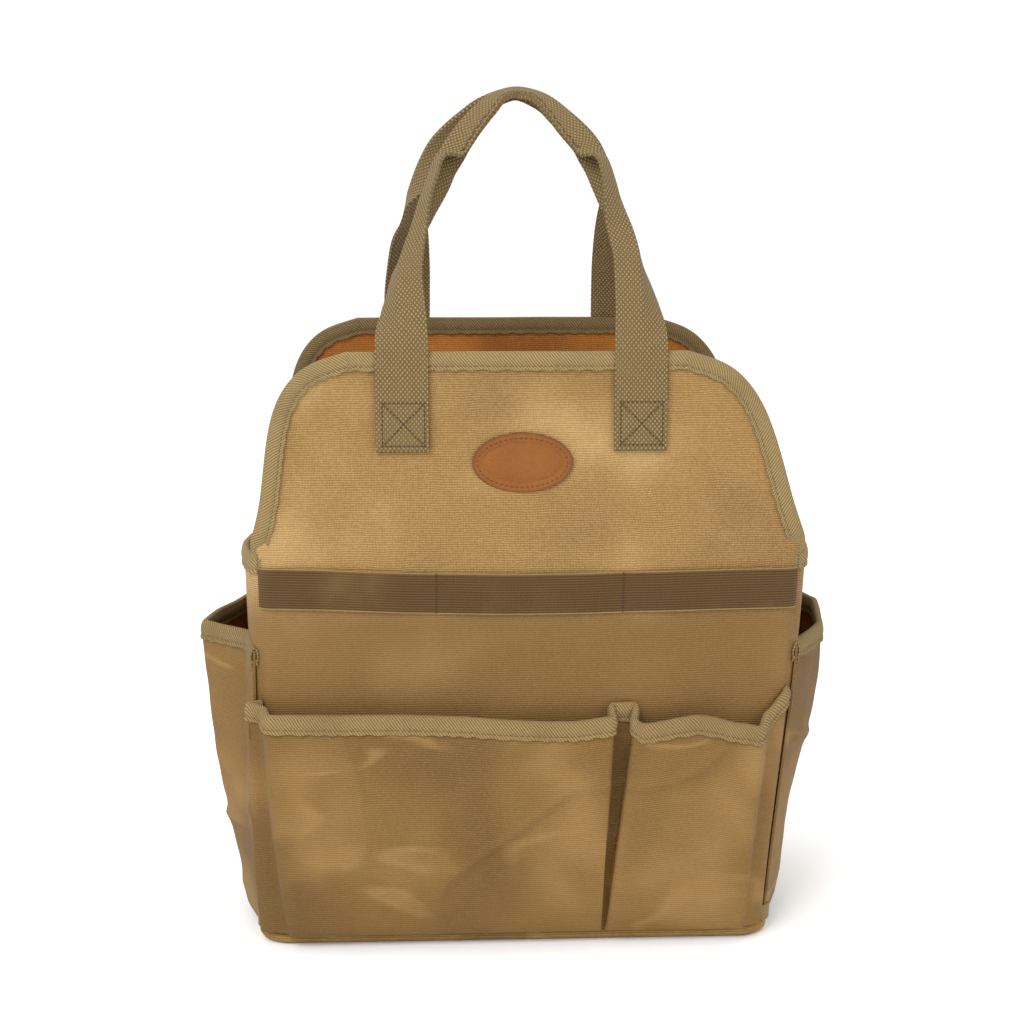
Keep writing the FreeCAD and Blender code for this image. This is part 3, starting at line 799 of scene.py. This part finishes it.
class Apron:
    """A pocket's cloth: stations along its foot and its rim, rounded at the creases.

    Where face_from is given, only the cloth farther than that from the bag's middle crowns,
    and it crowns straight out from the panel behind it.
    """

    def __init__(self, foot, rim, columns, belly, seed, face_from=0.0):
        lengths = [(Vector(b[:2]) - Vector(a[:2])).length for a, b in zip(rim, rim[1:])]
        self.counts = [max(3, round(columns * l / sum(lengths))) for l in lengths]
        self.foot, self.rim = foot, rim
        self.columns = sum(self.counts)
        self.belly, self.seed, self.face_from = belly, seed, face_from
        self.rows = {}

    def line(self, up):
        """The softened line of the cloth at a share of its height."""
        key = round(up, 6)
        if key in self.rows:
            return self.rows[key]
        open_share = min(up / 0.93, 1.0) ** 0.85
        stations = [Vector(a).lerp(Vector(b), open_share) for a, b in zip(self.foot, self.rim)]
        points = [a.lerp(b, j / count) for count, a, b in
                  zip(self.counts, stations, stations[1:]) for j in range(count)]
        points.append(stations[-1])
        for i, point in enumerate(points):
            point.z = between(self.height(self.foot, i), self.height(self.rim, i), up)
        for _ in range(2):
            points = [points[0]] + [(a + b * 2 + c) / 4 for a, b, c in
                                    zip(points, points[1:], points[2:])] + [points[-1]]
        self.rows[key] = points
        return points

    def height(self, stations, i):
        """The height of a column on the line through the foot or the rim stations."""
        for count, a, b in zip(self.counts, stations, stations[1:]):
            if i < count:
                return between(a[2], b[2], ease(i / count))
            i -= count
        return stations[-1][2]

    def point(self, i, up, out=0.0):
        """A settled point of the cloth, moved outward from its middle."""
        line = self.line(up)
        here = line[i]
        along = way_along(line, i)
        face = Vector((along.y, -along.x, 0)).normalized()
        edge = min(i, self.columns - i) / 8
        crown = self.belly * max(math.sin(math.pi * min(up, 1.0)), 0.0) ** 0.5 * ease(edge)
        if self.face_from:
            crown *= ease((abs(here.y) - self.face_from) / 0.003)
        outward = Vector((0, math.copysign(1, face.y), 0)) if self.face_from else face
        x, y, z = here
        slant = ripple(x * 5 + z * 9 + self.seed, y * 4, z * 5 - x * 9)
        ridge = max(0.0, 1 - abs(slant) / 0.10) ** 2 * ease(edge) * ease((1 - up) * 6)
        crown += 0.0026 * ridge * ease(up * 5)
        rumple = 0.0030 * ripple(x * 20 + self.seed, y * 26, z * 14)
        rumple += 0.0008 * ripple(x * 70, y * 70 + self.seed, z * 60)
        rumple *= ease(edge) * ease(up * 6) * (1 - 0.6 * ease((up - 0.85) * 8))
        return settled(here + outward * (crown + rumple)) + face * out, face

    def cloth(self, name, rows):
        return sheet_mesh(
            name, self.columns, rows,
            lambda across, up: self.point(round(across * self.columns), up,
                                          pocket_canvas / 2)[0],
            pocket_canvas, [pocket_finish, coated_inside], lining=1)

    def rim_path(self, width):
        path = []
        for i in range(self.columns + 1):
            here, face = self.point(i, 1.0)
            tall = self.height(self.rim, i) - self.height(self.foot, i)
            below, _ = self.point(i, 1 - width / tall)
            path.append((here, face, (below - here).normalized()))
        return path


def pocket(name, apron, rows, width, tape_finish, nodes):
    """The cloth, tape and stitches of one pocket cloth, all sewn to the bag."""
    cloth = on_bag(apron.cloth(name + "_cloth", rows), "canvas", *nodes)
    path = apron.rim_path(width)
    tape_piece = on_bag(folded_tape(name + "_tape", path, pocket_canvas, width, tape_finish),
                        "binding_tape", *[node + "_binding" for node in nodes])
    row = on_bag(tape_stitches(name + "_stitches", path, pocket_canvas, width, (1,)), "thread")
    return cloth, [tape_piece, row]


# how far the cloth stands out from the walls where its ends are sewn in, high and low
seam_out, foot_out = 0.0022, 0.0012
left_seam, right_seam = (front_wall(side, 0.15, seam_out) for side in (-1, 1))
left_foot, right_foot = (front_wall(side, 0.01, foot_out) for side in (-1, 1))
face_from = 0.092  # the folds and the pleat lie nearer the bag than this
# from the left seam round its fold, along the large pocket, into the pleat and out of it,
# along the small pocket and round the fold of the right seam
front_rim = [
    (left_seam.x, left_seam.y, 0.156), (-0.1690, -0.0905, 0.157), (-0.1590, -0.0925, 0.1545),
    (-0.1552, -0.1020, 0.1515), (-0.0750, -0.1030, 0.1510), (0.0260, -0.1020, 0.1465),
    (0.0532, -0.1010, 0.1490), (0.0515, -0.0915, 0.1550), (0.0672, -0.0915, 0.1550),
    (0.0652, -0.1010, 0.1490), (0.0700, -0.1015, 0.1445), (0.1040, -0.1030, 0.1490),
    (0.1340, -0.1015, 0.1425), (0.1433, -0.1015, 0.1405), (0.1480, -0.0930, 0.1480),
    (0.1590, -0.0890, 0.1590), (right_seam.x, right_seam.y, 0.1610)]
front_foot = [
    (left_foot.x, left_foot.y), (-0.1590, -0.0870), (-0.1430, -0.0897), (-0.1372, -0.0955),
    (-0.0750, -0.0950), (0.0260, -0.0940), (0.0533, -0.0935), (0.0500, -0.0905),
    (0.0590, -0.0905), (0.0553, -0.0935), (0.0640, -0.0940), (0.1020, -0.0940),
    (0.1320, -0.0935), (0.1395, -0.0950), (0.1430, -0.0905), (0.1535, -0.0865),
    (right_foot.x, right_foot.y)]
front_apron = Apron([p + (pocket_foot,) for p in front_foot], front_rim, 220, 0.0060, 3.0,
                    face_from)
cloth, extras = pocket("front_pocket", front_apron, 56, pocket_tape_width, pocket_twill,
                       ["front_left_pocket", "front_right_pocket"])
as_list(extras)

# Back pockets: the same apron on the back, in the same canvas and tape, with its pleat in
# the middle, so that it has two pockets of one size.
back_rim_height = 0.149
back_rim_half = [(0.0045, -0.0915), (0.0045, -0.1005), (0.0500, -0.1025), (0.1000, -0.1025),
                 (0.1520, -0.1005), (0.1640, -0.0895)]
back_foot_half = [(0.0050, -0.0905), (0.0015, -0.0930), (0.0500, -0.0940), (0.1000, -0.0940),
                  (0.1380, -0.0930), (0.1545, -0.0855)]


def turned(stations):
    return [(-x, -y, z) for x, y, z in stations]


def both_halves(half, height, end, end_height):
    """The stations of a whole back line, from those of its half and its end at the seam."""
    right = [(x, y, height) for x, y in half] + [(end.x, end.y, end_height)]
    return turned([(-x, y, z) for x, y, z in reversed(right)] + right)


back_apron = Apron(both_halves(back_foot_half, pocket_foot, right_foot, pocket_foot),
                   both_halves(back_rim_half, back_rim_height, right_seam,
                               back_rim_height + 0.005),
                   200, 0.0050, 9.0, face_from)
cloth, extras = pocket("back_pocket", back_apron, 56, pocket_tape_width, pocket_twill,
                       ["back_left_pocket", "back_right_pocket"])
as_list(extras)

# Side pockets: a loose canvas apron on each side, sewn in at the corner seams, with a fold
# beside each seam. The mouths gape and their tape waves.
side_twill = twill("side_twill", dye(154, 132, 90), dye(126, 104, 64), dye(94, 76, 44))


def side_seam(along, z, out, height):
    """The station where an apron's line meets the seam, for the wall's line near z."""
    point = side_wall(along * 0.97, z, out)
    return point.x, point.y, height


def side_apron(way, rim, foot, seed):
    """An apron on the right side, or half turned on the left; stations run front to back."""
    rim = [side_seam(-1, 0.19, seam_out, 0.188), *rim, side_seam(1, 0.19, seam_out, 0.188)]
    foot = [p + (pocket_foot,) for p in foot]
    foot = [side_seam(-1, 0.01, foot_out, pocket_foot), *foot,
            side_seam(1, 0.01, foot_out, pocket_foot)]
    if way < 0:
        rim, foot = turned(rim), turned(foot)
    return Apron(foot, rim, 130, 0.0025, seed)


side_foot = [(0.1600, -0.0690), (0.1690, -0.0430), (0.1700, 0.0050), (0.1690, 0.0430),
             (0.1600, 0.0690)]
right_side_rim = [(0.1612, -0.0740, 0.188), (0.1804, -0.0400, 0.190), (0.1895, 0.0050, 0.195),
                  (0.1790, 0.0410, 0.196), (0.1640, 0.0700, 0.192)]
# the left apron is the right one half turned, so its list runs back to front
left_side_rim = [(0.1640, -0.0700, 0.192), (0.1770, -0.0260, 0.196), (0.1880, 0.0120, 0.196),
                 (0.1921, 0.0380, 0.195), (0.1642, 0.0660, 0.195)]
side_tape_width = 0.0100
for side, way, rim, seed in (("right", 1, right_side_rim, 21.0),
                             ("left", -1, left_side_rim, 5.0)):
    name = side + "_side_pocket"
    cloth, extras = pocket(name, side_apron(way, rim, side_foot, seed), 60, side_tape_width,
                           side_twill, [name])
    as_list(extras)

# Foot tapes: a short tab of the rim's twill over each front corner seam, just above the
# piping. It covers the foot of the seam, where the walls meet the base.
for side, x_way in (("right", 1), ("left", -1)):
    low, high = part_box(side + "_foot_tape")

    def shape(across, up):
        z = between(low.z, high.z, up)
        point = side_wall(between(-1.0, -0.90, across), z, 0.0026)
        point.x *= x_way
        return settled(point)

    piece = sheet_mesh(side + "_foot_tape_tab", 8, 8, shape, tape * x_way, [rim_twill])
    on_bag(piece, "binding_tape", side + "_foot_tape")

# Leather patch: an oval of vegetable-tanned leather with a burnished edge and a pressed
# border line, sewn on under the front rim.
patch_low, patch_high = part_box("leather_patch")
patch_size, patch_middle = patch_high - patch_low, (patch_low + patch_high) / 2


def leather_finish():
    finish = Finish("tan_leather")
    place = finish.place()
    pores = finish.node("ShaderNodeTexVoronoi", {"feature": "DISTANCE_TO_EDGE"}, Vector=place,
                        Scale=900.0)
    grain = finish.ramp(pores, 0.0, 0.25)
    cloud = finish.noise(place, 60.0, 4.0)
    parts = finish.node("ShaderNodeSeparateXYZ", {}, place)
    across = parts / patch_size.x * 2
    up = (parts.other("Z") - patch_middle.z) / patch_size.z * 2
    edge = finish.ramp(across * across + up * up, 0.78, 1.0)
    colour = finish.mix(dye(136, 82, 22), dye(112, 62, 12), cloud)
    colour = finish.mix(colour, dye(150, 92, 34), grain * 0.25)
    colour = finish.mix(colour, dye(96, 54, 24), edge * 0.75)
    return finish.finished(colour, 0.42 + cloud * 0.12, grain * 0.7 + cloud * 0.5, 0.0002,
                           coat=0.05)


bpy.ops.object.select_all(action="DESELECT")
bpy.ops.mesh.primitive_cylinder_add(
    vertices=96, radius=0.5, depth=patch_size.y, rotation=(math.pi / 2, 0, 0),
    location=(0, patch_middle.y, patch_middle.z))
patch = bpy.context.object
patch.name = "leather_patch_oval"
patch.scale = (patch_size.x, patch_size.z, 1)
bpy.ops.object.transform_apply(location=True, rotation=True, scale=True)
bpy.ops.object.mode_set(mode="EDIT")
bpy.ops.mesh.select_all(action="DESELECT")
bpy.ops.object.mode_set(mode="OBJECT")
for polygon in patch.data.polygons:
    polygon.select = polygon.normal.y < -0.9
bpy.ops.object.mode_set(mode="EDIT")
border_depth = 0.0003
for width, depth in ((0.0007, 0), (0.0046, 0), (0.0004, -border_depth), (0.0005, 0),
                     (0.0004, border_depth), (0.004, 0)):
    bpy.ops.mesh.inset(thickness=width, depth=depth)
bpy.ops.object.mode_set(mode="OBJECT")
apply_modifier(patch, "BEVEL", width=0.0005, segments=3, limit_method="ANGLE",
               angle_limit=math.radians(50))
bpy.ops.object.shade_smooth_by_angle(angle=math.radians(40))
patch.data.materials.clear()
patch.data.materials.append(leather_finish())
on_bag(patch, "leather", "leather_patch")

brown_thread = thread_finish("brown_thread", dye(118, 74, 40), dye(70, 40, 20))
patch_margin = 0.0033  # from the edge to the row of stitches
ring = []
for i in range(241):
    angle = i / 240 * 2 * math.pi
    ring.append(Vector(((patch_size.x / 2 - patch_margin) * math.cos(angle), patch_low.y,
                        patch_middle.z
                        + (patch_size.z / 2 - patch_margin) * math.sin(angle))))
marks = [(place, along, Vector((0, -1, 0))) for place, along, _ in spaced(ring, 0.0031)]
on_bag(stitches("leather_patch_stitches", marks, 0.0022, heavy_thread, brown_thread),
       "thread", "patch_stitching")

# Handles: two loops of cotton webbing, their ends folded under and sewn to the panels with
# a box and cross. Each loop is folded in half along its top and stitched shut as a grip, and
# below the grip the fold opens like a trough and turns flat on the panel.
tab_low, tab_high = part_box("front_right_handle_tab")
webbing_width = tab_high.x - tab_low.x - 0.001
webbing_thickness = tab_high.y - tab_low.y
layer_gap = 0.0003  # between the two layers of a sewn end
leg_x = (tab_low.x + tab_high.x) / 2
pivot_y = -(half_depth + 0.0002 + webbing_thickness * 1.5 + layer_gap)
pivot_z = frame["joints"][0]["pos_m"][2]  # a handle folds down at the top of its sewn ends


def webbing_finish():
    """Basket-woven cotton webbing: offset rows of rounded beads, worn pale on their tops."""
    finish = Finish("cotton_webbing")
    place = finish.place()
    across, along = finish.threads()
    wobble = finish.noise(place, 200.0, 1.0) * 0.0004
    rise = along / 0.0032
    slope = (across + wobble) / 0.0026
    left_yarn = finish.wave(slope + rise, 1.0)
    right_yarn = finish.wave(slope - rise, 1.0)
    bead = left_yarn * right_yarn
    slant = finish.wave(across * 0.8 + along * 0.9, 0.0007)
    shade = finish.noise(place, 30.0, 3.0)
    fuzz = finish.noise(place, 1200.0, 2.0)
    colour = finish.mix(dye(92, 75, 46), dye(126, 105, 68), finish.ramp(bead, 0.05, 0.4))
    colour = finish.mix(colour, dye(162, 138, 94), finish.ramp(bead, 0.4, 0.9) * 0.75)
    colour = finish.mix(colour, dye(112, 95, 62), finish.ramp(shade, 0.45, 0.75) * 0.35)
    colour = finish.mix(colour, dye(176, 156, 112), finish.ramp(fuzz, 0.55, 0.8) * 0.3)
    height = bead + slant * 0.08 + fuzz * 0.15
    return finish.finished(colour, 0.85, height, 0.0005, sheen=0.03)


cotton_webbing = webbing_finish()
flat_top = 0.370  # a leg lies flat on the panel up to here
grip_foot = 0.4885  # and is stitched shut as the grip from here
flat_step, fold_step = 0.0021, 0.0022  # from row to row of the webbing's mesh

# fold line of each leg from the panel up to the middle of the grip: place of the fold, and
# the turns in degrees of the half towards the middle and of the half away from it
front_left_leg = [
    (-0.0712, -0.0912, 0.374, 0, 180), (-0.0718, -0.0875, 0.388, -6, 150),
    (-0.0726, -0.0830, 0.399, -13, 128), (-0.0728, -0.0755, 0.415, -25, 104),
    (-0.0695, -0.0690, 0.428, -45, 85), (-0.0645, -0.0610, 0.442, -60, 62),
    (-0.0600, -0.0525, 0.456, -70, 45), (-0.0550, -0.0440, 0.469, -73, 28),
    (-0.0510, -0.0370, 0.480, -66, 14), (-0.0460, -0.0320, 0.488, -24, -12),
    (-0.0420, -0.0280, 0.494, -24, -24), (-0.0340, -0.0210, 0.504, -35, -35),
    (-0.0245, -0.0140, 0.513, -50, -50), (-0.0140, -0.0070, 0.520, -70, -70),
    (0.0, -0.0016, 0.5236, -69, -69)]
front_right_leg = [
    (0.0698, -0.0912, 0.374, 0, 180), (0.0702, -0.0875, 0.388, -2, 155),
    (0.0704, -0.0830, 0.399, -4, 135), (0.0700, -0.0755, 0.415, -8, 112),
    (0.0690, -0.0690, 0.428, -14, 95), (0.0654, -0.0610, 0.442, -21, 80),
    (0.0603, -0.0525, 0.456, -52, 50), (0.0570, -0.0440, 0.469, -62, 30),
    (0.0535, -0.0370, 0.480, -60, 14), (0.0490, -0.0320, 0.488, -24, -12),
    (0.0450, -0.0280, 0.494, -24, -24), (0.0355, -0.0210, 0.504, -35, -35),
    (0.0265, -0.0140, 0.513, -50, -50), (0.0155, -0.0070, 0.520, -70, -70),
    (0.0, -0.0016, 0.5236, -69, -69)]
back_leg = [
    (-0.0705, -0.0912, 0.374, 0, 180), (-0.0700, -0.0850, 0.392, -14, 166),
    (-0.0692, -0.0770, 0.410, -24, 152), (-0.0688, -0.0670, 0.428, -34, 136),
    (-0.0684, -0.0590, 0.442, -48, 116), (-0.0685, -0.0500, 0.456, -60, 90),
    (-0.0650, -0.0430, 0.468, -66, 55), (-0.0600, -0.0360, 0.480, -60, 22),
    (-0.0540, -0.0295, 0.491, -26, -14), (-0.0460, -0.0235, 0.500, -28, -28),
    (-0.0350, -0.0170, 0.509, -40, -40), (-0.0210, -0.0090, 0.518, -60, -60),
    (0.0, -0.0016, 0.5236, -70, -70)]


def fold_rows(keys):
    """Evenly spaced places of the fold line with the turns of both halves."""
    places = [k[:3] for k in keys]
    turns = [(k[3], k[4], 0) for k in keys]
    count = 40 * (len(keys) - 1)
    dense = [(smooth_line(places, i / count), smooth_line(turns, i / count))
             for i in range(count + 1)]
    rows, run = [dense[0]], 0.0
    for before, after in zip(dense, dense[1:]):
        run += (after[0] - before[0]).length
        if run >= fold_step:
            rows.append(after)
            run = 0.0
    rows[-1] = dense[-1]
    return rows


def sewn_end(x):
    """The flat end of a leg: up behind the tab, round its foot and up the front to the fold."""
    back_y = pivot_y + webbing_thickness + layer_gap
    foot_z = tab_low.z + 0.0012
    radius = (back_y - pivot_y) / 2
    points = [Vector((x, back_y, pivot_z - 0.004 - 0.004 * i)) for i in range(6)]
    for angle in range(0, 181, 30):
        a = math.radians(angle)
        points.append(Vector((x, (back_y + pivot_y) / 2 + radius * math.cos(a),
                              foot_z - radius * math.sin(a))))
    z = foot_z + flat_step
    while z < flat_top + 0.002:
        points.append(Vector((x, pivot_y, z)))
        z += flat_step
    return [(point, Vector((0, 180, 0))) for point in points]


def webbing_sections(left_keys, right_keys):
    """The cross-sections from one sewn end to the other: place, its two axes and its turns."""
    fold = fold_rows(left_keys + list(reversed(right_keys))[1:])
    rows = sewn_end(fold[0][0].x) + fold + list(reversed(sewn_end(fold[-1][0].x)))
    sections = []
    for i, (place, turns) in enumerate(rows):
        along = rows[min(i + 1, len(rows) - 1)][0] - rows[max(i - 1, 0)][0]
        along.normalize()
        if place.z < flat_top:
            across = Vector((1, 0, 0)) if i < len(rows) / 2 else Vector((-1, 0, 0))
            deep = along.cross(across)
        else:
            deep = Vector((0, 1, 0)) - along * along.y
            deep.normalize()
            across = deep.cross(along)
        sections.append((place, across, deep, turns))
    return sections


fold_reach = 0.0018  # length of the turn at the fold line, to each side
webbing_columns = 40


def webbing_line(section, way, lift=0.0):
    """The points across one section, from the selvage of the outer half to the inner one."""
    place, across, deep, turns = section
    step = webbing_width / webbing_columns
    open_turn, far_turn = turns.x, turns.y - 180

    def heading(run):
        share = ease((run / fold_reach + 1) / 2)
        return math.radians(between(far_turn, open_turn, share))

    halves = []
    for way_out in (1, -1):
        spot = Vector((0, 0, 0))
        half = [spot.copy()]
        for k in range(webbing_columns // 2):
            for quarter in range(4):
                run = way_out * step * (k + (quarter + 0.5) / 4)
                a = heading(run)
                spot += (across * math.cos(a) + deep * math.sin(a)) * (way_out * step / 4)
            half.append(spot.copy())
        halves.append(half)
    spots = list(reversed(halves[1]))[:-1] + halves[0]
    line = []
    for k, spot in enumerate(spots):
        a = heading((k - webbing_columns / 2) * step)
        face = across * math.sin(a) - deep * math.cos(a)
        point = place + spot + face * lift
        line.append(Vector((point.x, point.y * way, point.z)))
    return line


box_margin = 0.0030  # from the selvages to the box of stitches
mirrored_back_leg = [(-k[0],) + k[1:] for k in back_leg]
on_webbing = webbing_thickness / 2 + 0.0001  # from its middle to a thread on its face
for name, way, legs in (("front", 1, (front_left_leg, front_right_leg)),
                        ("back", -1, (back_leg, mirrored_back_leg))):
    sections = webbing_sections(*legs)
    lines = [webbing_line(section, way) for section in sections]
    count = len(sections) - 1
    piece = sheet_mesh(
        name + "_handle_webbing", webbing_columns, count,
        lambda across, along: lines[round(along * count)][round(across * webbing_columns)],
        webbing_thickness, [cotton_webbing], side=0)
    pivot = Vector((0, pivot_y * way, pivot_z))
    name + "_handle"
    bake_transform(piece)
    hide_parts(name + "_handle", name + "_left_handle_tab", name + "_right_handle_tab")
    # grip stitches: a zigzag between two columns near each selvage, through both layers
    closed = [s for s in sections if s[0].z > grip_foot]
    upper = [webbing_line(s, way, on_webbing) for s in closed]
    above = [webbing_line(s, way, 0.01) for s in closed]
    marks = []
    for columns in ((36, 38), (4, 2)):
        for k, i in enumerate(range(0, len(closed) - 2, 2)):
            first = upper[i][columns[k % 2]]
            second = upper[i + 2][columns[(k + 1) % 2]]
            outward = (above[i][columns[0]] - upper[i][columns[0]]).normalized()
            marks.append(((first + second) / 2, (second - first).normalized(), outward))
    piece = stitches(name + "_grip_stitches", marks, 0.0042, heavy_thread, dark_thread)
    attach(piece, name + "_handle")
    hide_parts(name + "_grip_stitching")
    # box and cross through each sewn end
    marks = []
    face_y = pivot_y - on_webbing
    low_z, high_z = tab_low.z + 0.0032, pivot_z - 0.0012
    half = webbing_width / 2 - box_margin
    for x in (-leg_x, leg_x):
        corners = [Vector((x - half, face_y, low_z)), Vector((x + half, face_y, low_z)),
                   Vector((x + half, face_y, high_z)), Vector((x - half, face_y, high_z))]
        for a, b in ((0, 1), (1, 2), (2, 3), (3, 0), (0, 2), (1, 3)):
            for place, along, _ in spaced([corners[a], corners[b]], 0.0026):
                marks.append((half_turn(place, way), half_turn(along, way), Vector((0, -way, 0))))
    on_bag(stitches(name + "_box_stitches", marks, 0.0021, heavy_thread, dark_thread),
           "thread", name + "_tab_stitching")
